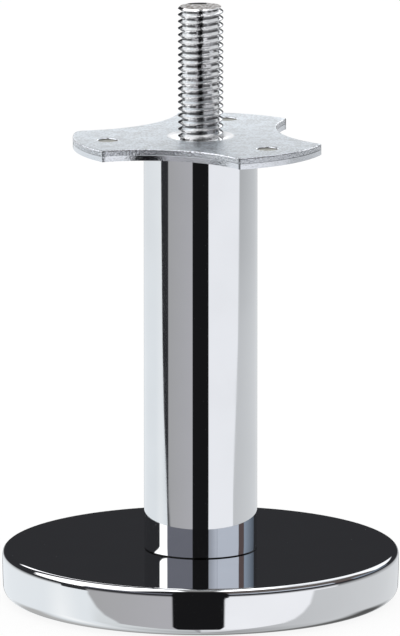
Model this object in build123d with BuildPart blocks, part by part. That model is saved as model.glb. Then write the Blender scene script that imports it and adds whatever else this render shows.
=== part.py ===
from build123d import *
import os

# Furniture leg: a chromed tube on a round disc foot, with a threaded stud and a three-arm mounting plate.
# Sizes are in millimetres. The Z axis is the axis of the disc, the tube and the stud, and Z = 0 is the floor.

# Floor pad, let into the underside of the disc
pad_thickness = 2.6
pad_recess_depth = 2.0
pad_side_gap = 0.2

# Disc foot
disc_diameter = 87.7
disc_thickness = 10.6
disc_top_round = 1.3
disc_bottom_round = 2.4
disc_land_width = 5.7

# Tube
tube_diameter = 25.0
tube_wall = 1.5
tube_length = 90.1
tube_end_round = 0.3

# Mounting plate: a round blank with three round bites, which leave three arms
arm_count = 3
arm_turn = -46.0
plate_thickness = 2.5
plate_side_reach = 18.0
plate_bite_radius = 25.3
plate_corner_round = 0.5
plate_blunt_corner_round = 2.7
plate_edge_round = 0.3
screw_hole_diameter = 4.5
screw_hole_circle = 42.0
screw_hole_edge_round = 0.4
arm_end_margin = 7.1

# Drawn collar in the middle of the plate
collar_wall = 1.9
collar_drop = 4.5
collar_mouth_round = 3.0

# Threaded stud
stud_diameter = 10.0
stud_thread_pitch = 1.5
stud_length = 55.0
stud_projection = 28.9
stud_chamfer = 0.5

# Tapped plugs in the ends of the tube
top_plug_length = 18.0
top_plug_gap = 1.5
foot_plug_length = 18.0
foot_plug_recess = 0.3
plug_chamfer = 0.6
plug_side_gap = 0.05

# Countersunk screw that pulls the tube down on the disc
screw_diameter = 8.0
screw_thread_pitch = 1.25
screw_length = 20.0
screw_head_diameter = 16.0
screw_head_edge = 0.4
screw_head_sink = 0.2
screw_hole_gap = 0.25
screw_seat_gap = 0.05
screw_tip_chamfer = 0.8
screw_tip_room = 2.5
screw_socket_width = 5.0
screw_socket_depth = 3.0

# Engaged threads are plain walls at the pitch diameter, which lies this share of the pitch inside the crests
pitch_diameter_share = 0.6495
thread_gap = 0.05

# Levels, from the floor up
disc_bottom = pad_thickness - pad_recess_depth
pad_top = pad_thickness
disc_top = disc_bottom + disc_thickness
tube_top = disc_top + tube_length
plate_top = tube_top + plate_thickness
stud_top = plate_top + stud_projection
stud_bottom = stud_top - stud_length
top_plug_top = tube_top - collar_drop - top_plug_gap
foot_plug_bottom = disc_top + foot_plug_recess
screw_bottom = pad_top + screw_head_sink
screw_top = screw_bottom + screw_length

# Radii
disc_radius = disc_diameter / 2
recess_radius = disc_radius - disc_land_width
tube_radius = tube_diameter / 2
tube_bore_radius = tube_radius - tube_wall
plug_radius = tube_bore_radius - plug_side_gap
arm_end_radius = screw_hole_circle / 2 + arm_end_margin
bite_centre = plate_side_reach + plate_bite_radius
stud_radius = stud_diameter / 2
stud_pitch_radius = stud_radius - pitch_diameter_share * stud_thread_pitch / 2
stud_tap_radius = stud_pitch_radius + thread_gap
screw_radius = screw_diameter / 2
screw_pitch_radius = screw_radius - pitch_diameter_share * screw_thread_pitch / 2
screw_tap_radius = screw_pitch_radius + thread_gap
screw_head_radius = screw_head_diameter / 2

os.makedirs("parts", exist_ok=True)

# Felt pad: its lower face meets the floor and its upper face is glued into the recess
with BuildPart() as floor_pad:
    with BuildSketch(Plane.XY):
        Circle(recess_radius - pad_side_gap)
    extrude(amount=pad_thickness)

# Disc foot: rounded rims, a recess for the pad and a countersunk hole on the axis
with BuildPart() as base_disc:
    with BuildSketch(Plane.XY.offset(disc_bottom)):
        Circle(disc_radius)
    extrude(amount=disc_thickness)
    disc_rims = base_disc.edges().filter_by(GeomType.CIRCLE).sort_by(Axis.Z)
    fillet(disc_rims[-1], disc_top_round)
    fillet(disc_rims[0], disc_bottom_round)
    with BuildSketch(Plane.XY.offset(disc_bottom)):
        Circle(recess_radius)
    extrude(amount=pad_recess_depth, mode=Mode.SUBTRACT)
    with Locations(Plane(origin=(0, 0, pad_top), z_dir=(0, 0, -1))):
        CounterSinkHole(
            radius=screw_radius + screw_hole_gap,
            counter_sink_radius=screw_head_radius + screw_head_edge + screw_head_sink + screw_seat_gap,
            counter_sink_angle=90,
        )

# Tube: its outer rims are slightly rounded
with BuildPart() as leg_tube:
    with BuildSketch(Plane.XY.offset(disc_top)):
        Circle(tube_radius)
        Circle(tube_bore_radius, mode=Mode.SUBTRACT)
    extrude(amount=tube_length)
    tube_rims = leg_tube.edges().filter_by(GeomType.CIRCLE).group_by(SortBy.RADIUS)
    fillet(tube_rims[-1], tube_end_round)

# Foot plug: a turned plug with a tapped blind hole that takes the screw from below
with BuildPart() as foot_plug:
    with BuildSketch(Plane.XY.offset(foot_plug_bottom)):
        Circle(plug_radius)
    extrude(amount=foot_plug_length)
    chamfer(foot_plug.edges().filter_by(GeomType.CIRCLE), plug_chamfer)
    with BuildSketch(Plane.XY.offset(foot_plug_bottom)):
        Circle(screw_tap_radius)
    extrude(amount=screw_top + screw_tip_room - foot_plug_bottom, mode=Mode.SUBTRACT)

# Top plug: a turned plug with a tapped hole right through, set below the rim to clear the plate's collar
with BuildPart() as top_plug:
    with BuildSketch(Plane.XY.offset(top_plug_top)):
        Circle(plug_radius)
    extrude(amount=-top_plug_length)
    chamfer(top_plug.edges().filter_by(GeomType.CIRCLE), plug_chamfer)
    with BuildSketch(Plane.XY.offset(top_plug_top)):
        Circle(stud_tap_radius)
    extrude(amount=-top_plug_length, mode=Mode.SUBTRACT)

# Countersunk screw: half its section, turned about the axis, then a hexagon socket from below
with BuildPart() as base_screw:
    with BuildSketch(Plane.XZ):
        with BuildLine():
            Polyline(
                (0, screw_bottom),
                (screw_head_radius, screw_bottom),
                (screw_head_radius, screw_bottom + screw_head_edge),
                (screw_radius, screw_bottom + screw_head_edge + screw_head_radius - screw_radius),
                (screw_radius, disc_top),
                (screw_pitch_radius, disc_top),
                (screw_pitch_radius, screw_top - screw_tip_chamfer),
                (screw_pitch_radius - screw_tip_chamfer, screw_top),
                (0, screw_top),
                close=True,
            )
        make_face()
    revolve(axis=Axis.Z)
    with BuildSketch(Plane.XY.offset(screw_bottom)):
        RegularPolygon(screw_socket_width / 2, 6, major_radius=False)
    extrude(amount=screw_socket_depth, mode=Mode.SUBTRACT)

# Stud: full diameter where it stands free, pitch diameter where the collar and the plug hold it
with BuildPart() as threaded_stud:
    with BuildSketch(Plane.XY.offset(stud_bottom)):
        Circle(stud_pitch_radius)
    extrude(amount=stud_length)
    with BuildSketch(Plane.XY.offset(plate_top)):
        Circle(stud_radius)
    extrude(amount=stud_projection)
    stud_rims = threaded_stud.edges().filter_by(GeomType.CIRCLE).sort_by(Axis.Z)
    chamfer([stud_rims[0], stud_rims[-1]], stud_chamfer)

# Mounting plate: the blank with its bites and screw holes, then the drawn collar and the soft upper edges
with BuildPart() as mounting_plate:
    with BuildSketch(Plane.XY.offset(tube_top)) as blank:
        Circle(arm_end_radius)
        with PolarLocations(bite_centre, arm_count, start_angle=arm_turn + 180 / arm_count):
            Circle(plate_bite_radius, mode=Mode.SUBTRACT)
        arm_corners = blank.vertices().sort_by(Axis.X)
        fillet(arm_corners[0], plate_blunt_corner_round)
        fillet(arm_corners[1:], plate_corner_round)
        with PolarLocations(screw_hole_circle / 2, arm_count, start_angle=arm_turn):
            Circle(screw_hole_diameter / 2, mode=Mode.SUBTRACT)
    extrude(amount=plate_thickness)
    upper_face = mounting_plate.faces().sort_by(Axis.Z)[-1]
    fillet(upper_face.outer_wire().edges(), plate_edge_round)
    upper_face = mounting_plate.faces().sort_by(Axis.Z)[-1]
    fillet(upper_face.inner_wires().edges(), screw_hole_edge_round)
    with BuildSketch(Plane.XY.offset(tube_top)):
        Circle(stud_tap_radius + collar_wall)
    extrude(amount=-collar_drop)
    with BuildSketch(Plane.XY.offset(plate_top)):
        Circle(stud_tap_radius)
    extrude(amount=-(plate_thickness + collar_drop), mode=Mode.SUBTRACT)
    upper_edges = mounting_plate.edges().filter_by(GeomType.CIRCLE).group_by(Axis.Z)[-1]
    fillet(upper_edges.sort_by_distance((0, 0, plate_top))[0], collar_mouth_round)

pieces = {
    "floor_pad": floor_pad,
    "base_disc": base_disc,
    "leg_tube": leg_tube,
    "foot_plug": foot_plug,
    "top_plug": top_plug,
    "base_screw": base_screw,
    "threaded_stud": threaded_stud,
    "mounting_plate": mounting_plate,
}
for name, piece in pieces.items():
    piece.part.label = name
    export_step(piece.part, f"parts/{name}.step")
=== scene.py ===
"""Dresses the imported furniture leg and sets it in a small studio.

The leg is a chromed tube on a chromed disc foot, with a zinc-plated three-arm plate and a threaded stud.
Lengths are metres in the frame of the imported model: Z = 0 is the floor, and the leg's axis is the Z axis.
"""
import logging
import math
from dataclasses import dataclass, replace
from enum import Enum
from typing import Any, Optional, Union

import bmesh
import bpy
import numpy as np
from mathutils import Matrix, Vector


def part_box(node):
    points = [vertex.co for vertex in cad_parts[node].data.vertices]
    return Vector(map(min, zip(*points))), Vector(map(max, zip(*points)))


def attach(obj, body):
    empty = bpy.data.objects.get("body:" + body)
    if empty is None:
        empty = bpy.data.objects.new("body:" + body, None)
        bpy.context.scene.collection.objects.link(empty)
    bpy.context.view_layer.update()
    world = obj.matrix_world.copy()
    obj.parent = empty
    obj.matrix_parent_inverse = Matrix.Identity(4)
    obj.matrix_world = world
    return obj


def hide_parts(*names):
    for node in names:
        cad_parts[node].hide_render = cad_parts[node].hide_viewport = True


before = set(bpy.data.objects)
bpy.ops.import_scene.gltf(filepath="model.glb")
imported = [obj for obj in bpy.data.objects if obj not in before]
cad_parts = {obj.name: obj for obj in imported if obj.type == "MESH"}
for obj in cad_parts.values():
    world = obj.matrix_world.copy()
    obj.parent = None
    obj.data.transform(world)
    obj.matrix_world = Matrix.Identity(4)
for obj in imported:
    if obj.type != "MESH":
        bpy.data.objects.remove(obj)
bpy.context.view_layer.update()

BODY = "root"
MM = 0.001
WELD = 1e-4 * MM
SLIVER = 1e-5 * MM
TOUCH = 1e-6 * MM
ARC_STEPS = 16

Array = np.ndarray
Colour = tuple[float, float, float]
Span = tuple[float, float]
Knots = tuple[Span, ...]
log = logging.getLogger("furniture_leg")


class Corner(Enum):
    """How the faces of a surface meet in the shading."""

    ROUND = math.radians(180)
    CREASED = math.radians(40)


# Surfaces as arrays


@dataclass(frozen=True)
class Profile:
    """Half a section in the plane of radius and height, walked with the solid on the left.

    points holds the (radius, height) pairs. starts and ends hold the outward normals at the two ends of each
    stretch between neighbouring points, so a round runs into a flat without a crease and corners stay crisp.
    """

    points: Array
    starts: Array
    ends: Array

    @staticmethod
    def straight(*corners: Span) -> "Profile":
        """Makes straight stretches from corner to corner, each with one normal to the right of the walk.

        Args:
            corners: the (radius, height) pairs to pass.

        Returns:
            The profile.
        """
        points = np.array(corners, float)
        step = np.diff(points, axis=0)
        normals = np.column_stack([step[:, 1], -step[:, 0]]) / np.linalg.norm(step, axis=1)[:, None]
        return Profile(points, normals, normals)

    @staticmethod
    def arc(centre: Span, radius: float, first: float, last: float, steps: int) -> "Profile":
        """Makes a convex round: centre plus radius times (cosine, sine) of an angle that grows evenly.

        Args:
            centre: (radius, height) of the round's centre.
            radius: the round's own radius.
            first: angle at its start, in degrees from the outward direction.
            last: angle at its end.
            steps: how many stretches it is cut into.

        Returns:
            The profile.
        """
        angle = np.radians(np.linspace(first, last, steps + 1))
        normals = np.column_stack([np.cos(angle), np.sin(angle)])
        return Profile(np.array(centre) + radius * normals, normals[:-1], normals[1:])

    def then(self, *others: "Profile") -> "Profile":
        """Appends profiles, with a straight stretch wherever the next one starts away from the last point.

        Args:
            others: the profiles that follow, in order.

        Returns:
            One profile.
        """
        whole = self
        for other in others:
            gap = np.linalg.norm(other.points[0] - whole.points[-1])
            if gap > TOUCH:
                whole = whole.then(Profile.straight(tuple(whole.points[-1]), tuple(other.points[0])))
            whole = Profile(
                np.vstack([whole.points, other.points[1:]]),
                np.vstack([whole.starts, other.starts]),
                np.vstack([whole.ends, other.ends]),
            )
        return whole


@dataclass(frozen=True)
class Skin:
    """A surface as arrays: points (n, 3), four-cornered faces (m, 4) and maybe a normal per face corner."""

    points: Array
    faces: Array
    normals: Optional[Array] = None

    def joined(self, *others: "Skin") -> "Skin":
        """Puts this surface and others into one, without corner normals.

        Args:
            others: the surfaces to add.

        Returns:
            One surface with all their faces.
        """
        points = [self.points]
        faces = [self.faces]
        count = len(self.points)
        for other in others:
            points.append(other.points)
            faces.append(other.faces + count)
            count += len(other.points)
        return Skin(np.vstack(points), np.vstack(faces))

    def piece(self, name: str, corner: Corner = Corner.CREASED) -> bpy.types.Object:
        """Puts the arrays into a mesh object at the origin, with doubles merged and faces shaded smooth.

        Args:
            name: name of the object and its mesh.
            corner: how sharp edges are shaded where the surface brings no normals of its own.

        Returns:
            The new object, linked to the scene.
        """
        mesh = bpy.data.meshes.new(name)
        mesh.from_pydata(self.points.tolist(), [], self.faces.tolist())
        if self.normals is None:
            self._weld(mesh)
        mesh.shade_smooth()
        if self.normals is not None:
            mesh.normals_split_custom_set(self.normals.reshape(-1, 3).tolist())
        elif corner is not Corner.ROUND:
            mesh.set_sharp_from_angle(angle=corner.value)
        made = bpy.data.objects.new(name, mesh)
        bpy.context.scene.collection.objects.link(made)
        return made

    @staticmethod
    def _weld(mesh: bpy.types.Mesh) -> None:
        """Merges points that as good as meet, which also closes poles and seams.

        Args:
            mesh: the mesh to change.
        """
        editor = bmesh.new()
        editor.from_mesh(mesh)
        bmesh.ops.remove_doubles(editor, verts=editor.verts, dist=WELD)
        bmesh.ops.dissolve_degenerate(editor, edges=editor.edges, dist=SLIVER)
        editor.to_mesh(mesh)
        editor.free()


def drawn_in(radius: float, low: float, high: float, foot_round: float, lean: float) -> Profile:
    """Walks up a wall that is drawn in at its foot.

    A round comes up from the underside and runs into a flat arc where both lean by the same angle. The flat
    arc is upright at its upper end, and its radius follows from the height that is left for it.

    Args:
        radius: radius of the wall at its upper end.
        low: height of the underside.
        high: height of the upper end.
        foot_round: radius of the round.
        lean: angle between the wall and the upright where the two arcs meet, in degrees.

    Returns:
        The profile, from the underside to the upper end.
    """
    slant = math.radians(lean)
    flat = foot_round + (high - low - foot_round) / math.sin(slant)
    heart = radius - flat
    foot = (heart + (flat - foot_round) * math.cos(slant), low + foot_round)
    lower = Profile.arc(foot, foot_round, -90, -lean, ARC_STEPS)
    return lower.then(Profile.arc((heart, high), flat, -lean, 0, ARC_STEPS))


def grid_faces(rows: int, columns: int, closed: bool) -> Array:
    """Joins neighbours on a grid of points whose columns run round and meet again.

    Args:
        rows: number of rows, from first to last along the profile.
        columns: number of columns round the axis.
        closed: whether the last row meets the first again.

    Returns:
        The faces as indices, (m, 4), wound so that they face right of the walk along the rows.
    """
    row, column = np.meshgrid(np.arange(rows if closed else rows - 1), np.arange(columns), indexing="ij")
    above = (row + 1) % rows
    beside = (column + 1) % columns
    corners = [
        row * columns + column,
        row * columns + beside,
        above * columns + beside,
        above * columns + column,
    ]
    return np.stack(corners, axis=-1).reshape(-1, 4)


def turned(profile: Profile, columns: int) -> Skin:
    """Turns a closed profile about the Z axis: (radius cos a, radius sin a, height) for angles a all round.

    Args:
        profile: a profile whose last point is its first.
        columns: number of angles.

    Returns:
        The surface with exact normals at the face corners.
    """
    angle = np.arange(columns) * (2 * math.pi / columns)
    across = np.column_stack([np.cos(angle), np.sin(angle)])
    points = profile.points[:-1]
    after = np.roll(across, -1, axis=0)
    corners = [
        (profile.starts, across),
        (profile.starts, after),
        (profile.ends, after),
        (profile.ends, across),
    ]
    normals = np.stack([spun(normal, side) for normal, side in corners], axis=2)
    return Skin(
        spun(points, across).reshape(-1, 3),
        grid_faces(len(points), columns, closed=True),
        normals.reshape(-1, 4, 3),
    )


def spun(pairs: Array, across: Array) -> Array:
    """Turns (radial, axial) pairs, one for each row, to each direction across the axis.

    Args:
        pairs: (rows, 2) points or normals in the profile's plane.
        across: (columns, 2) unit directions in the floor plane.

    Returns:
        (rows, columns, 3) points or normals.
    """
    flat = pairs[:, None, :1] * across[None]
    tall = np.broadcast_to(pairs[:, None, 1:], (len(pairs), len(across), 1))
    return np.concatenate([flat, tall], axis=-1)


def rings(radii: Array, heights: Array, columns: int) -> Skin:
    """Stacks rings about the Z axis: row i at angle a is (radius_i cos a, radius_i sin a, height_i).

    Args:
        radii: radius of each row, (rows,) or (rows, columns) where it changes round the axis.
        heights: height of each row, in the same form.
        columns: number of angles.

    Returns:
        The open surface.
    """
    angle = np.arange(columns) * (2 * math.pi / columns)
    radius = np.broadcast_to(radii.reshape(len(radii), -1), (len(radii), columns))
    height = np.broadcast_to(heights.reshape(len(heights), -1), (len(heights), columns))
    points = np.stack([radius * np.cos(angle), radius * np.sin(angle), height], axis=-1)
    return Skin(points.reshape(-1, 3), grid_faces(len(radii), columns, closed=False))


# Shader maths


@dataclass(frozen=True)
class Value:
    """A node's output that stands in Python expressions; each operator adds one Math node."""

    graph: "Graph"
    socket: bpy.types.NodeSocket

    def __add__(self, other: "Number") -> "Value":
        """Sum."""
        return self.graph.maths("ADD", self, other)

    def __sub__(self, other: "Number") -> "Value":
        """Difference."""
        return self.graph.maths("SUBTRACT", self, other)

    def __mul__(self, other: "Number") -> "Value":
        """Product."""
        return self.graph.maths("MULTIPLY", self, other)

    def __rsub__(self, other: "Number") -> "Value":
        """Difference with the number first."""
        return self.graph.maths("SUBTRACT", other, self)

    def __neg__(self) -> "Value":
        """Sign change."""
        return self.graph.maths("MULTIPLY", self, -1.0)

    def __abs__(self) -> "Value":
        """Size without the sign."""
        return self.graph.maths("ABSOLUTE", self)

    __radd__ = __add__
    __rmul__ = __mul__


Number = Union[float, Value]
Paint = Union[Colour, Value]


@dataclass(frozen=True)
class Graph:
    """The nodes of one material or of the world."""

    tree: bpy.types.NodeTree

    def node(
        self,
        kind: str,
        settings: Optional[dict[str, Any]] = None,
        sockets: Optional[dict[Union[str, int], Any]] = None,
        output: Union[str, int] = 0,
    ) -> Value:
        """Adds a node.

        Args:
            kind: the node's type.
            settings: its properties, set first.
            sockets: numbers, colours or values for its inputs.
            output: the output to return.

        Returns:
            That output.
        """
        made = self.tree.nodes.new(kind)
        for key, setting in (settings or {}).items():
            setattr(made, key, setting)
        for key, content in (sockets or {}).items():
            if isinstance(content, Value):
                self.tree.links.new(content.socket, made.inputs[key])
            else:
                made.inputs[key].default_value = content
        return Value(self, made.outputs[output])

    def shown(self, shader: Value, kind: str = "ShaderNodeOutputMaterial") -> None:
        """Sends a shader to the material's output, or to the world's."""
        output = self.tree.nodes.new(kind)
        self.tree.links.new(shader.socket, output.inputs["Surface"])

    def maths(self, operation: str, *numbers: Number) -> Value:
        """Adds a Math node for an operation on one to three numbers."""
        return self.node("ShaderNodeMath", {"operation": operation}, dict(enumerate(numbers)))

    def step(self, number: Number, low: float, high: float) -> Value:
        """Goes smoothly from 0 where the number is low to 1 where it is high."""
        sockets = {"Value": number, "From Min": low, "From Max": high}
        return self.node("ShaderNodeMapRange", {"interpolation_type": "SMOOTHSTEP"}, sockets)

    def slope(self, number: Number, low: float, high: float, first: float, last: float) -> Value:
        """Goes straight from first where the number is low to last where it is high, and stays there."""
        sockets = {"Value": number, "From Min": low, "From Max": high, "To Min": first, "To Max": last}
        return self.node("ShaderNodeMapRange", {}, sockets)

    def mixed(self, share: Number, first: Paint, second: Paint) -> Value:
        """Mixes two colours, the second by its share."""
        first, second = [c if isinstance(c, Value) else (*c, 1.0) for c in (first, second)]
        return self.node("ShaderNodeMix", {"data_type": "RGBA"}, {0: share, 6: first, 7: second}, 2)

    def noise(self, place: Value, size: float, detail: float = 3.0, roughness: float = 0.5) -> Value:
        """Adds a noise of about 0 to 1 whose spots are about size metres wide."""
        sockets = {"Vector": place, "Scale": 1.0 / size, "Detail": detail, "Roughness": roughness}
        return self.node("ShaderNodeTexNoise", {}, sockets)

    def bump(self, height: Value, strength: float, distance: float) -> Value:
        """Turns a height of about 0 to 1 into a bumpy normal."""
        sockets = {"Strength": strength, "Distance": distance, "Height": height}
        return self.node("ShaderNodeBump", {}, sockets)

    def stretched(self, place: Value, scale: tuple[float, float, float]) -> Value:
        """Scales coordinates along each axis."""
        return self.node("ShaderNodeMapping", {}, {"Vector": place, "Scale": scale})

    def parts(self, vector: Value) -> tuple[Value, Value, Value]:
        """Splits a vector into its three numbers."""
        split = self.node("ShaderNodeSeparateXYZ", {}, {0: vector})
        return tuple(Value(self, output) for output in split.socket.node.outputs)

    def reach(self, place: Value) -> Value:
        """Measures how far a place is from the Z axis."""
        across, along, _ = self.parts(place)
        return self.maths("SQRT", across * across + along * along)

    def upward(self) -> Value:
        """Tells how far the surface faces up: 1 on a level top and 0 on an upright wall."""
        return self.parts(self.node("ShaderNodeNewGeometry", output="Normal"))[2]


# Finishes


def tinted(colour: Colour, share: float) -> Colour:
    """Returns a colour at a share of its brightness."""
    return tuple(share * c for c in colour)


def fresh_graph(owner: Union[bpy.types.Material, bpy.types.World]) -> Graph:
    """Gives a material or the world an empty graph.

    Args:
        owner: the material or the world.

    Returns:
        Its graph.
    """
    owner.use_nodes = True
    owner.node_tree.nodes.clear()
    return Graph(owner.node_tree)


@dataclass(frozen=True)
class Finish:
    """A metal or felt surface; each kind paints its own nodes."""

    name: str
    colour: Colour

    def material(self) -> bpy.types.Material:
        """Builds the node material.

        Returns:
            The material, with one Principled shader.
        """
        made = bpy.data.materials.new(self.name)
        graph = fresh_graph(made)
        place = graph.node("ShaderNodeTexCoord", output="Object")
        graph.shown(graph.node("ShaderNodeBsdfPrincipled", {}, self.painted(graph, place)))
        return made

    def painted(self, graph: Graph, place: Value) -> dict[str, Any]:
        """Returns the Principled shader's inputs at a place in Object coordinates."""
        raise NotImplementedError


@dataclass(frozen=True)
class Chrome(Finish):
    """Mirror chrome with a faint polishing haze, and maybe painted shade: a dark line at the seam where it
    meets a neighbour.
    """

    cloud: float = 14.0 * MM
    cloud_edge: Span = (0.35, 0.75)
    haze: float = 0.02
    haze_shade: float = 0.97
    polish: float = 0.02
    seam: Optional[float] = None
    contact_shade_width: float = 0.25 * MM
    contact_shade_core: float = 0.7
    contact_shade_colour: Colour = (0.02, 0.02, 0.02)

    def painted(self, graph: Graph, place: Value) -> dict[str, Any]:
        """Lets haze come and go in soft clouds, which dull the colour by a hair, and paints shade as a dark
        line at the seam.

        Args:
            graph: the material's nodes.
            place: Object coordinates.

        Returns:
            The Principled shader's inputs.
        """
        cloud = graph.step(graph.noise(place, self.cloud), *self.cloud_edge)
        colour = graph.mixed(cloud, self.colour, tinted(self.colour, self.haze_shade))
        # Painted shade: a dark line at the foot, standing for the shadow that falls in the seam between tube
        # and disc.
        if self.seam is not None:
            height = graph.parts(place)[2] - self.seam
            dark = graph.step(height, self.contact_shade_width, self.contact_shade_core * self.contact_shade_width)
            colour = graph.mixed(dark, colour, self.contact_shade_colour)
        return {
            "Base Color": colour,
            "Metallic": 1.0,
            "Roughness": cloud * self.haze + self.polish,
        }


@dataclass(frozen=True)
class PlatedZinc(Finish):
    """Blue-white zinc plating on stamped sheet.

    The faces are satin and mottled. A cut edge is crumpled above the break, where a dark line parts it from
    the burnished rest, and has painted shade, dark lines, at the arms' corners. The drawn mouth and the rims
    of the holes are bright. The holes are rough, with painted shade in their upper part.
    """

    cloud: float = 3.0 * MM
    cloud_share: float = 0.3
    mottle: float = 0.55 * MM
    milk_edge: Span = (0.44, 0.56)
    milk_roughness: float = 0.1
    speck: float = 0.22 * MM
    speck_share: float = 0.3
    speck_depth: float = 0.35
    speck_roughness: float = 0.06
    crumple: float = 0.5 * MM
    crumple_depth: float = 6.0
    burnish_depth: float = 1.2
    relief: float = 0.05 * MM
    relief_strength: float = 0.6
    dullness: float = 0.5
    face_tilt: Span = (0.6, 0.98)
    face_roughness: float = 0.42
    edge_roughness: float = 0.17
    edge_colour: Colour = (0.78, 0.80, 0.83)
    break_height: float = 0.0
    break_width: float = 0.14 * MM
    line_share: float = 0.6
    line_shade: float = 0.4
    mouth_radius: float = 7.6 * MM
    mouth_blur: float = 0.5 * MM
    mouth_colour: Colour = (0.85, 0.86, 0.87)
    arm_turn: float = -46.0
    corner_turn: float = 26.3
    corner_shade_width: float = 0.6
    corner_shade_edge: Span = (0.35, 0.5)
    corner_shade_level: float = 0.1
    hole_circle: float = 21.0 * MM
    hole_radius: float = 2.25 * MM
    hole_blur: float = 0.0467 * MM
    rim_radius: float = 2.8 * MM
    hole_colour: Colour = (0.72, 0.72, 0.68)
    hole_dullness: float = 0.5
    hole_roughness: float = 0.3
    hole_shade_height: float = 0.0
    hole_shade_blur: float = 0.4 * MM
    hole_shade_level: float = 0.28

    def painted(self, graph: Graph, place: Value) -> dict[str, Any]:
        """Mottles the faces, crumples and parts the cut edges, paints shade at the arms' corners and in the
        holes.

        The normal tells a face from an edge. The distance from the leg's axis tells the mouth, and that from
        the nearest hole's axis tells the rim and the hole.

        Args:
            graph: the material's nodes.
            place: Object coordinates.

        Returns:
            The Principled shader's inputs.
        """
        across, along, up = graph.parts(place)
        reach = graph.reach(place)
        folded = self.from_arm(graph, graph.maths("ARCTAN2", along, across))
        aside = self.from_hole(graph, reach, folded)
        mouth = graph.step(reach, self.mouth_radius, self.mouth_radius - self.mouth_blur)
        hole = graph.step(aside, self.hole_radius + self.hole_blur, self.hole_radius)
        rim = graph.step(aside, self.rim_radius + self.break_width, self.rim_radius)
        face = graph.step(abs(graph.upward()), *self.face_tilt)
        cut = (1 - face) * (1 - mouth) * (1 - rim)
        rolled = cut * graph.step(up, self.break_height - self.break_width, self.break_height)
        line = rolled * graph.step(up, self.break_height + self.break_width, self.break_height)
        corner = abs(abs(folded) - math.radians(self.corner_turn))
        clouds = graph.noise(place, self.cloud, 3.0, 0.6)
        spots = graph.noise(place, self.mottle, 4.0, 0.7)
        specks = graph.noise(place, self.speck, 2.0, 0.6)
        folds = graph.noise(place, self.crumple, 3.0, 0.6)
        milk = graph.step(clouds * self.cloud_share + spots * (1 - self.cloud_share), *self.milk_edge)
        pale = milk * (1 - self.speck_share) + specks * self.speck_share
        # Painted shade: dark lines on the cut edges at the arms' corners, broken up by the spots.
        corner_shade = cut * graph.step(corner, math.radians(self.corner_shade_width), 0.0)
        corner_shade = corner_shade * graph.step(spots, *self.corner_shade_edge)
        sheet = graph.mixed(pale, tinted(self.colour, self.dullness), self.colour)
        sheet = graph.mixed(1 - face, sheet, self.edge_colour)
        sheet = graph.mixed(mouth, sheet, self.mouth_colour)
        sheet = graph.mixed(line * self.line_share, sheet, tinted(self.colour, self.line_shade))
        sheet = graph.mixed(corner_shade, sheet, tinted(self.colour, self.corner_shade_level))
        # Painted shade: each hole's wall is darker in its upper part, just below the rim.
        hole_shade = graph.step(up, self.hole_shade_height - self.hole_shade_blur, self.hole_shade_height)
        wall = graph.mixed(hole_shade, self.hole_colour, tinted(self.hole_colour, self.hole_shade_level))
        rough = face * (self.face_roughness - self.edge_roughness) + self.edge_roughness
        rough = rough + hole * self.hole_roughness + milk * face * self.milk_roughness
        height = (spots + specks * self.speck_depth) * face
        height = height + folds * (rolled * self.crumple_depth + cut * self.burnish_depth)
        return {
            "Base Color": graph.mixed(hole, sheet, wall),
            "Metallic": 1 - hole * self.hole_dullness,
            "Roughness": rough + (specks - 1) * self.speck_roughness,
            "Normal": graph.bump(height, self.relief_strength, self.relief),
        }

    def from_arm(self, graph: Graph, angle: Value) -> Value:
        """Folds an angle round the leg's axis, in radians, into a third of a turn about the nearest arm."""
        third = 2 * math.pi / 3
        return graph.maths("WRAP", angle - math.radians(self.arm_turn), -third / 2, third / 2)

    def from_hole(self, graph: Graph, reach: Value, folded: Value) -> Value:
        """Measures the distance from the axis of the nearest of the three punched holes, by the cosine rule.

        Args:
            graph: the material's nodes.
            reach: distance from the leg's axis.
            folded: angle from the middle of the nearest arm, in radians.

        Returns:
            The distance.
        """
        inward = reach * graph.maths("COSINE", folded) * (2 * self.hole_circle)
        return graph.maths("SQRT", reach * reach - inward + self.hole_circle**2)


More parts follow.
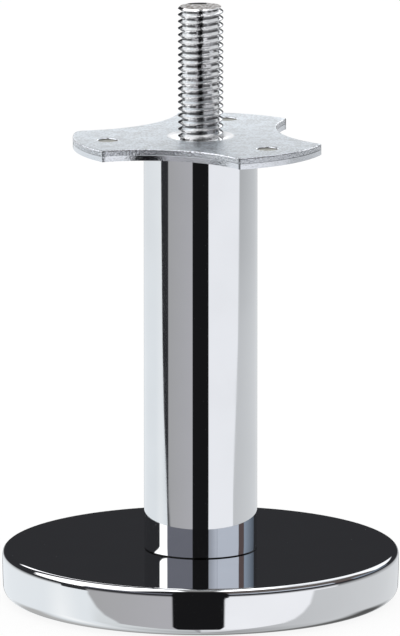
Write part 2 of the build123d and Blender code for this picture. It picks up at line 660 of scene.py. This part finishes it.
@dataclass(frozen=True)
class BrightZinc(Finish):
    """Bright zinc on a rolled thread, with a sawn end that has a painted reflection, a dark bar at the back.

    The very root has painted shade but for bright patches, and the crests have a little painted shade.
    """

    root: float = 4.08 * MM
    root_blur: float = 0.13 * MM
    root_shade: float = 0.2
    patch: float = 2.2 * MM
    patch_edge: Span = (0.48, 0.6)
    crest: float = 4.93 * MM
    crest_shade_level: float = 0.4
    crest_shade_blur: float = 0.05 * MM
    spot: float = 0.8 * MM
    spot_low: float = 0.7
    spot_gain: float = 0.8
    spot_roughness: float = 0.1
    polish: float = 0.03
    dent: float = 0.5 * MM
    dent_depth: float = 0.05 * MM
    dent_strength: float = 0.8
    sawn_tilt: Span = (0.92, 0.98)
    sawn_dullness: float = 0.5
    sawn_roughness: float = 0.45
    sawn_shade: float = 0.95
    scorch: Colour = (0.36, 0.32, 0.30)
    scorch_edge: Span = (0.58, 0.42)
    reflection_bar: float = 2.3 * MM
    reflection_bar_blur: float = 0.3 * MM
    reflection_bar_middle: float = -0.7 * MM
    reflection_bar_reach: float = 2.2 * MM
    reflection_bar_end_blur: float = 0.4 * MM
    reflection_bar_level: float = 0.05

    def painted(self, graph: Graph, place: Value) -> dict[str, Any]:
        """Paints shade into the root and on the crests, scorches the sawn end and paints a dark reflection
        on it.

        The distance from the axis tells root, flank and crest, and an upward normal tells the sawn end.

        Args:
            graph: the material's nodes.
            place: Object coordinates.

        Returns:
            The Principled shader's inputs.
        """
        across, along, _ = graph.parts(place)
        reach = graph.reach(place)
        spots = graph.noise(place, self.spot, 3.0, 0.6)
        dents = graph.noise(place, self.dent, 2.0, 0.6)
        # Painted shade: the thread's root is darkened, except in noise patches, and the crests a little.
        root_shade_gaps = graph.step(graph.noise(place, self.patch, 2.0, 0.5), *self.patch_edge)
        flank = graph.step(reach, self.root, self.root + self.root_blur)
        flank = flank + (1 - flank) * root_shade_gaps
        crest_shade = graph.step(reach, self.crest - self.crest_shade_blur, self.crest) * self.crest_shade_level
        bright = (flank - crest_shade) * (self.spot_low + spots * self.spot_gain)
        zinc = graph.mixed(bright, tinted(self.colour, self.root_shade), self.colour)
        sawn = graph.step(graph.upward(), *self.sawn_tilt)
        scorched = graph.step(spots, *self.scorch_edge)
        end = graph.mixed(scorched, tinted(self.colour, self.sawn_shade), self.scorch)
        # Painted reflection: a dark bar at the back of the sawn end.
        aside = abs(across - self.reflection_bar_middle)
        reflection_bar = sawn * graph.step(along, self.reflection_bar, self.reflection_bar + self.reflection_bar_blur)
        reflection_bar = reflection_bar * graph.step(aside, self.reflection_bar_reach, self.reflection_bar_reach - self.reflection_bar_end_blur)
        zinc = graph.mixed(sawn, zinc, end)
        return {
            "Base Color": graph.mixed(reflection_bar, zinc, tinted(self.colour, self.reflection_bar_level)),
            "Metallic": 1 - sawn * self.sawn_dullness,
            "Roughness": spots * self.spot_roughness + self.polish + sawn * self.sawn_roughness,
            "Normal": graph.bump(dents, self.dent_strength, self.dent_depth),
        }


@dataclass(frozen=True)
class TurnedSteel(Finish):
    """Bare steel off the lathe, with fine turning marks round the axis."""

    mark: float = 0.12 * MM
    mark_shade: float = 0.8
    mark_depth: float = 0.02 * MM
    mark_strength: float = 0.3
    mark_roughness: float = 0.15
    polish: float = 0.28

    def painted(self, graph: Graph, place: Value) -> dict[str, Any]:
        """Draws noise out round the axis: it follows only the distance from the axis and the height.

        Args:
            graph: the material's nodes.
            place: Object coordinates.

        Returns:
            The Principled shader's inputs.
        """
        sides = {0: graph.reach(place), 1: graph.parts(place)[2], 2: 0.0}
        marks = graph.noise(graph.node("ShaderNodeCombineXYZ", {}, sides), self.mark, 2.0, 0.6)
        return {
            "Base Color": graph.mixed(marks, tinted(self.colour, self.mark_shade), self.colour),
            "Metallic": 1.0,
            "Roughness": marks * self.mark_roughness + self.polish,
            "Normal": graph.bump(marks, self.mark_strength, self.mark_depth),
        }


@dataclass(frozen=True)
class BlackOxide(Finish):
    """Blackened screw steel with an oily, cloudy sheen."""

    film: float = 1.5 * MM
    film_edge: Span = (0.35, 0.65)
    film_shade: float = 0.6
    film_gloss: float = 0.18
    roughness: float = 0.5

    def painted(self, graph: Graph, place: Value) -> dict[str, Any]:
        """Lets clouds of oil smooth and darken the grey-black.

        Args:
            graph: the material's nodes.
            place: Object coordinates.

        Returns:
            The Principled shader's inputs.
        """
        oil = graph.step(graph.noise(place, self.film, 3.0), *self.film_edge)
        return {
            "Base Color": graph.mixed(oil, self.colour, tinted(self.colour, self.film_shade)),
            "Metallic": 1.0,
            "Roughness": self.roughness - oil * self.film_gloss,
        }


@dataclass(frozen=True)
class Felt(Finish):
    """Pressed felt: matted dark fibres with paler ends."""

    fibre: float = 0.2 * MM
    fibre_draw: float = 0.25
    fibre_depth: float = 0.15 * MM
    fibre_strength: float = 0.8
    end_edge: Span = (0.45, 0.8)
    end_shade: float = 2.2
    roughness: float = 0.95
    sheen: float = 0.3

    def painted(self, graph: Graph, place: Value) -> dict[str, Any]:
        """Lays two noises, drawn out across each other, for the matted fibres.

        Args:
            graph: the material's nodes.
            place: Object coordinates.

        Returns:
            The Principled shader's inputs.
        """
        one = graph.noise(graph.stretched(place, (self.fibre_draw, 1.0, 1.0)), self.fibre, 3.0, 0.7)
        other = graph.noise(graph.stretched(place, (1.0, self.fibre_draw, 1.0)), self.fibre, 3.0, 0.7)
        mat = graph.maths("MAXIMUM", one, other)
        ends = graph.step(mat, *self.end_edge)
        return {
            "Base Color": graph.mixed(ends, self.colour, tinted(self.colour, self.end_shade)),
            "Roughness": self.roughness,
            "Sheen Weight": self.sheen,
            "Normal": graph.bump(mat, self.fibre_strength, self.fibre_depth),
        }


TUBE_CHROME = Chrome("tube_chrome", (0.80, 0.81, 0.82))
DISC_CHROME = Chrome("disc_chrome", (0.84, 0.845, 0.85))
PLATE_ZINC = PlatedZinc("zinc_plate", (0.78, 0.835, 0.88))
STUD_ZINC = BrightZinc("bright_zinc", (0.96, 0.96, 0.96))
PLUG_STEEL = TurnedSteel("turned_steel", (0.55, 0.55, 0.56))
SCREW_BLACK = BlackOxide("dark_steel", (0.12, 0.12, 0.13))
PAD_FELT = Felt("felt", (0.045, 0.045, 0.05))


# The leg's sub-assemblies


def dress(node: str, finish: Finish) -> None:
    """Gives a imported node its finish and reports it.

    Args:
        node: the node's name.
        finish: the finish of its whole surface.
    """
    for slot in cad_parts[node].material_slots:
        slot.material = finish.material()
    log.info("%s dressed in %s", node, finish.name)


def stand_in(piece: bpy.types.Object, node: str, finish: Finish) -> None:
    """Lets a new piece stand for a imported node, with the node's slot, and reports it.

    Args:
        piece: the new piece.
        node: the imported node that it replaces.
        finish: the finish of its whole surface, named like the record's slot.
    """
    piece.data.materials.append(finish.material())
    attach(piece, BODY)
    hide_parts(node)
    log.info("%s made for %s, %d faces", piece.name, node, len(piece.data.polygons))


@dataclass
class DiscFoot:
    """The disc foot with its felt pad and the screw that holds the tube."""

    radius: float
    bottom: float
    top: float
    pad_radius: float
    pad_top: float
    top_round: float = 1.3 * MM
    bottom_round: float = 2.4 * MM
    wall_lean: float = 2.8
    shoulder_height: float = 0.75 * MM
    shoulder_lean: float = 10.5
    pad_gap: float = 0.2 * MM
    sink_radius: float = 8.65 * MM
    hole_radius: float = 4.25 * MM
    columns: int = 512
    pad_columns: int = 288
    shoulder_steps: int = 8
    rim_steps: int = 20
    pad_rim: float = 0.4 * MM
    pad_rows: int = 60
    pad_rim_rows: int = 9
    fuzz: float = 0.12 * MM
    fuzz_reach: float = 0.5
    fuzz_seed: int = 7
    fuzz_waves: int = 40
    fuzz_lengths: Span = (0.8 * MM, 4.0 * MM)

    @classmethod
    def from_frame(cls) -> "DiscFoot":
        """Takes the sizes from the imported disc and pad.

        Returns:
            The disc foot.
        """
        low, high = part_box("base_disc")
        pad_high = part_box("floor_pad")[1]
        return cls(high.x, low.z, high.z, pad_high.x, pad_high.z)

    def build(self) -> None:
        """Makes the disc and the pad and dresses the screw."""
        stand_in(turned(self.section(), self.columns).piece("chrome_disc"), "base_disc", DISC_CHROME)
        pad = self.felt().piece("felt_pad")
        stand_in(pad, "floor_pad", PAD_FELT)
        dress("base_screw", SCREW_BLACK)

    def section(self) -> Profile:
        """Walks half the disc's section: recess, land, lower round, wall, shoulder, upper round, top, hole.

        The shoulder is a slow arc between the upright end of the wall and the upper round.

        Returns:
            The closed profile.
        """
        slant = math.radians(self.shoulder_lean)
        slow = self.shoulder_height / math.sin(slant)
        rim = self.top - self.top_round
        shoulder = rim + (self.top_round - slow) * math.sin(slant)
        edge = self.radius - slow + (slow - self.top_round) * math.cos(slant)
        recess = self.pad_radius + self.pad_gap
        sink_top = self.pad_top + self.sink_radius - self.hole_radius
        mouth = (self.sink_radius, self.pad_top)
        under = Profile.straight(mouth, (recess, self.pad_top), (recess, self.bottom))
        return under.then(
            drawn_in(self.radius, self.bottom, shoulder, self.bottom_round, self.wall_lean),
            Profile.arc((self.radius - slow, shoulder), slow, 0, self.shoulder_lean, self.shoulder_steps),
            Profile.arc((edge, rim), self.top_round, self.shoulder_lean, 90, self.rim_steps),
            Profile.straight((self.hole_radius, self.top), (self.hole_radius, sink_top), mouth),
        )

    def felt(self) -> Skin:
        """Makes the pad: a disc whose underside and rim are uneven by up to the fuzz.

        The walk goes from the middle of the underside over the soft rim to the middle of the upper face. The
        unevenness is a sum of plane waves in the floor plane, with seeded directions and phases.

        Returns:
            The closed surface.
        """
        rim = self.pad_rim
        out = np.linspace(0, self.pad_radius - rim, self.pad_rows)
        turn = np.radians(np.linspace(-90, 90, self.pad_rim_rows))
        radii = np.concatenate([out, self.pad_radius - rim + rim * np.cos(turn), out[::-1]])
        sides = np.where(turn < 0, rim, self.pad_top - rim) + rim * np.sin(turn)
        heights = np.concatenate([np.zeros_like(out), sides, np.full_like(out, self.pad_top)])
        skin = rings(radii, heights, self.pad_columns)
        under = np.clip(1 - skin.points[:, 2] / (self.fuzz_reach * self.pad_top), 0, 1)
        lift = self.fuzz * under * self.unevenness(skin.points)
        return Skin(skin.points + np.column_stack([np.zeros((len(lift), 2)), lift]), skin.faces)

    def unevenness(self, points: Array) -> Array:
        """Sums plane waves of the fuzz's lengths and brings the sum to 0 to 1.

        Args:
            points: (n, 3) places.

        Returns:
            (n,) values.
        """
        draw = np.random.default_rng(self.fuzz_seed)
        count = self.fuzz_waves
        angle = draw.uniform(0, 2 * math.pi, count)
        number = 2 * math.pi / draw.uniform(*self.fuzz_lengths, count)
        phase = draw.uniform(0, 2 * math.pi, count)
        along = points[:, :1] * np.cos(angle) + points[:, 1:2] * np.sin(angle)
        waves = np.sin(along * number + phase).sum(axis=1)
        return 0.5 + 0.5 * np.tanh(waves / math.sqrt(count))


@dataclass
class TubeLeg:
    """The chromed tube with the turned plugs in its ends."""

    radius: float
    bottom: float
    top: float
    wall: float = 1.5 * MM
    head_round: float = 0.3 * MM
    foot_round: float = 0.1 * MM
    ease_height: float = 2.3 * MM
    ease_lean: float = 2.3
    head_steps: int = 8
    columns: int = 384

    @classmethod
    def from_frame(cls) -> "TubeLeg":
        """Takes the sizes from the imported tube."""
        low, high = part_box("leg_tube")
        return cls(high.x, low.z, high.z)

    def build(self) -> None:
        """Makes the tube and dresses both plugs."""
        # The tube's chrome gets painted shade, a dark line along its foot at the seam with the disc.
        chrome = replace(TUBE_CHROME, seam=self.bottom)
        stand_in(turned(self.section(), self.columns).piece("chrome_tube"), "leg_tube", chrome)
        dress("foot_plug", PLUG_STEEL)
        dress("top_plug", PLUG_STEEL)

    def section(self) -> Profile:
        """Walks the section of the tube's wall: foot, drawn-in end, long wall, head round, head and bore.

        Returns:
            The closed profile.
        """
        bore = self.radius - self.wall
        eased = self.bottom + self.ease_height
        head = (self.radius - self.head_round, self.top - self.head_round)
        start = Profile.straight((bore, self.bottom), (self.radius - 0.5 * self.wall, self.bottom))
        return start.then(
            drawn_in(self.radius, self.bottom, eased, self.foot_round, self.ease_lean),
            Profile.arc(head, self.head_round, 0, 90, self.head_steps),
            Profile.straight((bore, self.top), (bore, self.bottom)),
        )


@dataclass
class TopFixing:
    """The three-arm mounting plate and the threaded stud that stands out of it."""

    stud_radius: float
    stud_bottom: float
    stud_top: float
    plate_top: float
    pitch: float = 1.5 * MM
    shank_radius: float = 4.51 * MM
    chamfer: float = 0.5 * MM
    plate_break: float = 1.25 * MM
    hole_shade_depth: float = 0.27 * MM
    thread_sink: float = 1.4 * MM
    thread_start: float = 0.57
    runout: float = 0.3 * MM
    softness: float = 0.05 * MM
    crest_cut: float = 0.125
    root_depth: float = 0.6134
    end_ring: float = 0.6
    columns: int = 144
    steps: int = 24

    @classmethod
    def from_frame(cls) -> "TopFixing":
        """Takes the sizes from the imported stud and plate."""
        low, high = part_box("threaded_stud")
        return cls(high.x, low.z, high.z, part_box("mounting_plate")[1].z)

    def build(self) -> None:
        """Makes the threaded stud and dresses the plate."""
        # The plate's finish gets painted shade in the upper part of its holes.
        zinc = replace(
            PLATE_ZINC,
            break_height=self.plate_top - self.plate_break,
            hole_shade_height=self.plate_top - self.hole_shade_depth,
        )
        dress("mounting_plate", zinc)
        stand_in(self.stud().piece("stud_thread"), "threaded_stud", STUD_ZINC)

    @property
    def foot(self) -> float:
        """Height at which the open thread starts, down in the mouth of the plate's collar."""
        return self.plate_top - self.thread_sink

    def groove(self, height: Array, turn: Array) -> Array:
        """Gives the radius of the thread at a height and a share of a turn.

        A triangle wave along height less turn times pitch is the sharp thread. It is cut off softly at the
        crest, by a share of the sharp depth, and at the root, a share of the pitch below the crest, so both
        have small rounds. The start is the share of a pitch by which the foot lies past a crest.

        Args:
            height: heights.
            turn: shares of a turn, in the same shape.

        Returns:
            The radii, in the same shape.
        """
        sharp = math.sqrt(3) / 2 * self.pitch
        wave = np.abs(2 * np.mod((height - self.foot) / self.pitch - turn + self.thread_start, 1) - 1)
        flank = self.stud_radius + self.crest_cut * sharp - sharp * (1 - wave)
        root = self.stud_radius - self.root_depth * self.pitch
        above_root = np.hypot(flank - root, self.softness)
        above_crest = np.hypot(flank - self.stud_radius, self.softness)
        radius = (root + self.stud_radius + above_root - above_crest) / 2
        return np.minimum(radius, self.stud_radius - self.chamfer + self.stud_top - height)

    def stud(self) -> Skin:
        """Makes the stud: a plain shank, the thread and the flat end.

        The thread is a grid whose rows follow the helix: row s at turn t has the height foot + pitch (s + t)
        within the thread's two ends, and the groove's radius there. A full turn of row s is row s + 1.

        Returns:
            The closed surface, its doubles not yet merged.
        """
        turn = np.arange(self.columns) / self.columns
        pitches = math.ceil((self.stud_top - self.foot) / self.pitch)
        rows = np.arange(-self.steps, (pitches + 1) * self.steps + 1) / self.steps
        height = np.clip(self.foot + self.pitch * (rows[:, None] + turn), self.foot, self.stud_top)
        radius = self.groove(height, np.broadcast_to(turn, height.shape))
        thread = rings(radius, height, self.columns)
        faces = np.vstack([self.inner_faces(len(rows)), self.seam_faces(len(rows))])
        return Skin(thread.points, faces).joined(self.shank(radius[0]), self.end())

    def inner_faces(self, rows: int) -> Array:
        """Joins the thread's grid points except across its seam.

        Args:
            rows: number of rows of the grid.

        Returns:
            The faces, (m, 4).
        """
        faces = grid_faces(rows, self.columns, closed=False)
        return faces[np.arange(len(faces)) % self.columns < self.columns - 1]

    def seam_faces(self, rows: int) -> Array:
        """Joins the last column to the first, where each row meets the row one full turn above it.

        Args:
            rows: number of rows of the grid.

        Returns:
            The faces, (m, 4).
        """
        row = np.arange(rows - self.steps - 1)
        last = row * self.columns + self.columns - 1
        first = (row + self.steps) * self.columns
        return np.column_stack([last, first, first + self.columns, last + self.columns])

    def shank(self, mouth: Array) -> Skin:
        """Makes the plain lower part, from the middle of its end up to the thread's first ring.

        Args:
            mouth: radius of the thread's first ring at each column.

        Returns:
            The open surface.
        """
        chamfered = self.shank_radius - self.chamfer
        radii = np.array([0, chamfered, self.shank_radius, self.shank_radius])
        low = self.stud_bottom
        heights = np.array([low, low, low + self.chamfer, self.foot - self.runout, self.foot])
        spread = np.vstack([np.broadcast_to(radii[:, None], (len(radii), self.columns)), mouth])
        return rings(spread, heights, self.columns)

    def end(self) -> Skin:
        """Makes the flat end, from the chamfer in to the axis."""
        radii = np.array([self.stud_radius - self.chamfer, self.end_ring * self.stud_radius, 0])
        return rings(radii, np.full(len(radii), self.stud_top), self.columns)


# The studio


@dataclass(frozen=True)
class Flat:
    """A soft-edged flat of the studio, as bright metal sees it.

    Azimuth is in degrees round the leg, 0 towards the camera and growing to the right. Elevation is in
    degrees above the horizon. An edge is a list of (elevation, azimuth) knots from high to low, so a flat
    may lean. Where a fade is given, the colour goes over to it from left to right.
    """

    left: Knots
    right: Knots
    colour: Colour
    fade: Optional[Colour] = None
    low: float = -90.0
    high: float = 90.0
    blur: float = 1.5

    def over(self, graph: Graph, behind: Paint, azimuth: Value, elevation: Value) -> Value:
        """Paints the flat over what is behind it.

        Args:
            graph: the world's nodes.
            behind: colour without this flat.
            azimuth: azimuth of the ray.
            elevation: elevation of the ray.

        Returns:
            The colour with it.
        """
        first = azimuth - self.edge(graph, self.left, elevation)
        last = self.edge(graph, self.right, elevation) - azimuth
        share = graph.step(first, -self.blur, self.blur) * graph.step(last, -self.blur, self.blur)
        share = share * graph.step(elevation, self.low - self.blur, self.low + self.blur)
        share = share * (1 - graph.step(elevation, self.high - self.blur, self.high + self.blur))
        colour: Paint = self.colour
        if self.fade is not None:
            across = graph.slope(azimuth, self.left[0][1], self.right[0][1], 0.0, 1.0)
            colour = graph.mixed(across, self.colour, self.fade)
        return graph.mixed(share, behind, colour)

    @staticmethod
    def edge(graph: Graph, knots: Knots, elevation: Value) -> Number:
        """Follows an edge down its knots, straight from one to the next.

        Args:
            graph: the world's nodes.
            knots: (elevation, azimuth) pairs from high to low.
            elevation: elevation of the ray.

        Returns:
            The edge's azimuth there.
        """
        azimuth: Number = knots[0][1]
        for (high, before), (low, after) in zip(knots, knots[1:]):
            azimuth = azimuth + graph.slope(elevation, high, low, 0.0, after - before)
        return azimuth


def upright(azimuth: float) -> Knots:
    """Returns the single knot of an edge that stands upright."""
    return ((0.0, azimuth),)


@dataclass
class Studio:
    """Camera, floor, world light, the lamp of the plate and the flats that bright metal mirrors.

    Spans of the world are where one thing gives way to another: in degrees of elevation, or in the parts of
    the ray's direction, across to the right and along to the back.
    """

    elevation: float = 11.45
    distance: float = 3.0
    pivot: float = 65.6 * MM
    aim: tuple[float, float, float] = (-0.132 * MM, -0.533 * MM, 62.97 * MM)
    lens: float = 770.26
    floor_radius: float = 2.5
    floor_inner: float = 0.5
    floor_columns: int = 96
    floor_glow: float = 0.86
    floor_white: float = 1.01
    lamp_behind: float = 150.0 * MM
    lamp_low: float = 112.0 * MM
    lamp_high: float = 180.0 * MM
    lamp_width: float = 360.0 * MM
    lamp_glow: float = 1.2
    room: Colour = (0.031, 0.0315, 0.035)
    slit: Colour = (0.010, 0.010, 0.011)
    strip_low: float = 6.5
    strip_high: float = 18.5
    wing_low: float = 17.0
    box_low: float = 20.0
    box_high: float = 66.0
    dusk: float = 0.48
    dusk_fall: Span = (-40.0, -90.0)
    back_fall: Span = (-18.0, -30.0)
    back_along: Span = (0.15, 0.55)
    back_across: Span = (-0.5, 0.5)
    back_left: Colour = (0.50, 0.50, 0.50)
    back_right: Colour = (0.10, 0.10, 0.10)
    horizon: Span = (-10.5, 0.0)
    top_rise: Span = (62.0, 70.0)
    top_light: Colour = (2.6, 2.6, 2.65)
    top_gap: Colour = (0.25, 0.25, 0.25)
    top_gap_across: Span = (0.08, 0.16)

    def build(self) -> None:
        """Sets the camera, the floor, the lamp and the world."""
        bpy.context.scene.view_settings.view_transform = "Standard"
        self.set_camera()
        self.lay_floor()
        self.hang_lamp()
        self.light_world()

    def set_camera(self) -> None:
        """Puts the camera in front of the leg, looking down a little, at the photograph's framing."""
        data = bpy.data.cameras.new("camera")
        data.lens = self.lens
        data.clip_end = 10 * self.distance
        camera = bpy.data.objects.new("camera", data)
        bpy.context.scene.collection.objects.link(camera)
        tilt = math.radians(self.elevation)
        back = Vector((0, -math.cos(tilt), math.sin(tilt)))
        camera.location = Vector((0, 0, self.pivot)) + self.distance * back
        look = Vector(self.aim) - camera.location
        camera.rotation_euler = look.to_track_quat("-Z", "Y").to_euler()
        bpy.context.scene.camera = camera
        log.info("camera at elevation %.2f", self.elevation)

    def lay_floor(self) -> None:
        """Lays a round white floor that shows the leg's soft shadow and stays out of the mirror images."""
        radii = np.array([self.floor_radius, self.floor_inner, 0.0])
        floor = rings(radii, np.zeros(len(radii)), self.floor_columns).piece("floor", Corner.ROUND)
        floor.data.materials.append(self.floor_paint())
        floor.visible_glossy = False
        log.info("floor laid")

    def floor_paint(self) -> bpy.types.Material:
        """Mixes white floor paint: mostly glow, and enough plain white to take a faint shadow.

        Returns:
            The material.
        """
        made = bpy.data.materials.new("floor_paint")
        graph = fresh_graph(made)
        glow = graph.node("ShaderNodeEmission", {}, {"Color": (1, 1, 1, 1), "Strength": self.floor_glow})
        white = self.floor_white - self.floor_glow
        matt = graph.node("ShaderNodeBsdfDiffuse", {}, {"Color": (white, white, white, 1)})
        graph.shown(graph.node("ShaderNodeAddShader", {}, {0: glow, 1: matt}))
        return made

    def hang_lamp(self) -> None:
        """Hangs a wide soft lamp behind the leg, screened off so that only the plate mirrors it.

        The lamp's power is four times its glow times its area, which makes its face as bright as its glow.
        """
        data = bpy.data.lights.new("back_lamp", "AREA")
        data.shape = "RECTANGLE"
        data.size = self.lamp_width
        data.size_y = self.lamp_high - self.lamp_low
        data.energy = 4 * self.lamp_glow * data.size * data.size_y
        lamp = bpy.data.objects.new("back_lamp", data)
        lamp.location = (0, self.lamp_behind, (self.lamp_low + self.lamp_high) / 2)
        lamp.rotation_euler = (math.radians(-90), 0, 0)
        lamp.visible_camera = False
        lit = bpy.data.collections.new("lit_by_lamp")
        lit.objects.link(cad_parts["mounting_plate"])
        lamp.light_linking.receiver_collection = lit
        bpy.context.scene.collection.objects.link(lamp)
        log.info("lamp hung")

    def low_flats(self) -> list[Flat]:
        """Lists the flats below the horizon, which the leg's upright walls mirror.

        Returns:
            The flats, from back to front.
        """
        gap_lean = (
            (-10.9, -88.1), (-11.24, -86.4), (-11.6, -84.5), (-11.9, -80.9), (-12.24, -73.2), (-12.6, -69.0),
        )
        grey_lean = (
            (-12.26, -69.4), (-12.45, -62.5), (-12.7, -68.9), (-13.1, -68.9), (-15.2, -63.4),
            (-16.5, -58.1), (-17.7, -49.7), (-30.0, -41.0), (-45.0, -28.0), (-54.0, -5.0),
        )
        white_lean = (
            (-10.9, 86.0), (-11.6, 82.5), (-12.24, 70.0), (-14.7, 67.2), (-16.1, 62.6),
            (-17.1, 57.3), (-18.0, 48.7), (-40.0, 38.8), (-60.0, 29.2),
        )
        right_wall = Flat(upright(20), upright(200), (0.55, 0.56, 0.58), (0.82, 0.84, 0.86))
        left_wall = Flat(upright(-200), upright(0), (0.88, 0.92, 0.955))
        left_glow = Flat(upright(-98), upright(-82), (1.06, 1.08, 1.09), high=-14, blur=9.0)
        left_dusk = Flat(upright(-66), upright(0), (0.74, 0.77, 0.79), high=-15, blur=5.0)
        dark_gap = Flat(gap_lean, upright(0), self.room, low=-12.6, blur=0.35)
        grey_screen = Flat(grey_lean, upright(0), (0.43, 0.43, 0.44), (0.50, 0.495, 0.53))
        white_screen = Flat(upright(0), white_lean, (0.99, 1.0, 1.04))
        head = {"low": -11.3, "blur": 0.5}
        left_head = Flat(upright(-200), upright(-90), (0.76, 0.79, 0.82), (0.93, 0.96, 0.985), **head)
        right_head = Flat(upright(87), upright(200), (0.49, 0.50, 0.515), (0.78, 0.80, 0.82), **head)
        walls = [right_wall, left_wall, left_glow, left_dusk]
        return walls + [dark_gap, grey_screen, white_screen, left_head, right_head]

    def high_flats(self) -> list[Flat]:
        """Lists the slits and the flats above the horizon, which rounds, thread and level faces mirror.

        Returns:
            The flats, from back to front.
        """
        strip_lean = (
            (15.6, -116.0), (15.0, -112.0), (14.3, -103.0), (13.65, -96.5), (12.9, -92.5),
            (11.3, -92.0), (10.9, -90.0), (10.0, -84.5), (9.5, -77.5), (9.2, -72.0),
        )
        wing_lean = ((66.0, 48.0), (60.0, 72.0), (52.0, 96.0), (44.0, 114.0), (38.0, 126.0))
        box_left = ((66.0, -150.0), (33.0, -131.0), (21.0, -116.0))
        box_right = ((66.0, -33.0), (45.0, -38.0), (25.0, -42.0), (18.0, -60.0))
        slit_right = ((-12.3, 16.2), (-13.0, 13.9))
        slate = (0.61, 0.65, 0.74)
        wing = {"low": self.wing_low, "high": self.box_high}
        strip = {"low": self.strip_low, "high": self.strip_high}
        slits = [
            Flat(upright(172), upright(200), self.slit, low=-16, high=1),
            Flat(upright(-200), upright(-172), self.slit, low=-16, high=1),
        ]
        wings = [
            Flat(upright(0), upright(128), (0.13, 0.115, 0.11), **wing),
            Flat(wing_lean, upright(128), (0.80, 0.82, 0.86), low=38, high=self.box_high),
            Flat(upright(128), upright(164), (1.2, 1.22, 1.26), **wing),
        ]
        left_bar = Flat(upright(-178), upright(-154), (1.8, 1.8, 1.85), low=26, high=33)
        strips = [
            Flat(strip_lean, upright(-72), (1.8, 1.8, 1.8), **strip),
            Flat(upright(-72), upright(0), (0.175, 0.18, 0.215), **strip),
            Flat(upright(0), upright(34), (0.11, 0.12, 0.14), slate, **strip),
            Flat(upright(34), upright(85), slate, **strip),
            Flat(upright(85), upright(100), (0.12, 0.09, 0.09), **strip),
            Flat(upright(100), upright(140), (0.31, 0.37, 0.46), (0.10, 0.12, 0.15), **strip),
        ]
        box = Flat(box_left, box_right, (1.6, 1.6, 1.63), low=self.box_low, high=self.box_high, blur=2.5)
        front_slit = Flat(upright(-16.4), slit_right, self.slit, low=-50, high=self.box_high, blur=0.7)
        return slits + wings + [left_bar] + strips + [box, front_slit]

    def mirrored(self, graph: Graph) -> Value:
        """Paints what bright metal mirrors: low flats, dusk near the floor, room, high flats and top light.

        Args:
            graph: the world's nodes.

        Returns:
            The colour in the direction of the ray.
        """
        across, along, up = graph.parts(graph.node("ShaderNodeTexCoord", output="Generated"))
        azimuth = graph.maths("ARCTAN2", across, -along) * math.degrees(1)
        elevation = graph.maths("ARCSINE", up) * math.degrees(1)
        colour: Paint = self.room
        for flat in self.low_flats():
            colour = flat.over(graph, colour, azimuth, elevation)
        steep = graph.slope(elevation, *self.dusk_fall, 0.0, self.dusk)
        colour = graph.mixed(steep, colour, self.room)
        behind = graph.step(elevation, *self.back_fall) * graph.step(along, *self.back_along)
        shade = graph.mixed(graph.step(across, *self.back_across), self.back_left, self.back_right)
        colour = graph.mixed(behind, colour, shade)
        colour = graph.mixed(graph.step(elevation, *self.horizon), colour, self.room)
        for flat in self.high_flats():
            colour = flat.over(graph, colour, azimuth, elevation)
        gap = graph.step(abs(across), *self.top_gap_across)
        top = graph.mixed(gap, self.top_gap, self.top_light)
        return graph.mixed(graph.step(elevation, *self.top_rise), colour, top)

    def light_world(self) -> None:
        """Lights the leg evenly, shows white to the camera and the flats to bright metal."""
        world = bpy.data.worlds.new("studio")
        bpy.context.scene.world = world
        graph = fresh_graph(world)
        world.cycles.sampling_method = "NONE"
        metal = graph.node("ShaderNodeLightPath", output="Is Glossy Ray")
        colour = graph.mixed(metal, (1.0, 1.0, 1.0), self.mirrored(graph))
        light = graph.node("ShaderNodeBackground", {}, {"Color": colour, "Strength": 1.0})
        graph.shown(light, "ShaderNodeOutputWorld")
        log.info("world lit")


def main() -> None:
    """Builds the leg's sub-assemblies and the studio, in order."""
    logging.basicConfig(level=logging.INFO, format="%(message)s")
    DiscFoot.from_frame().build()
    TubeLeg.from_frame().build()
    TopFixing.from_frame().build()
    Studio().build()


if __name__ == "__main__":
    main()
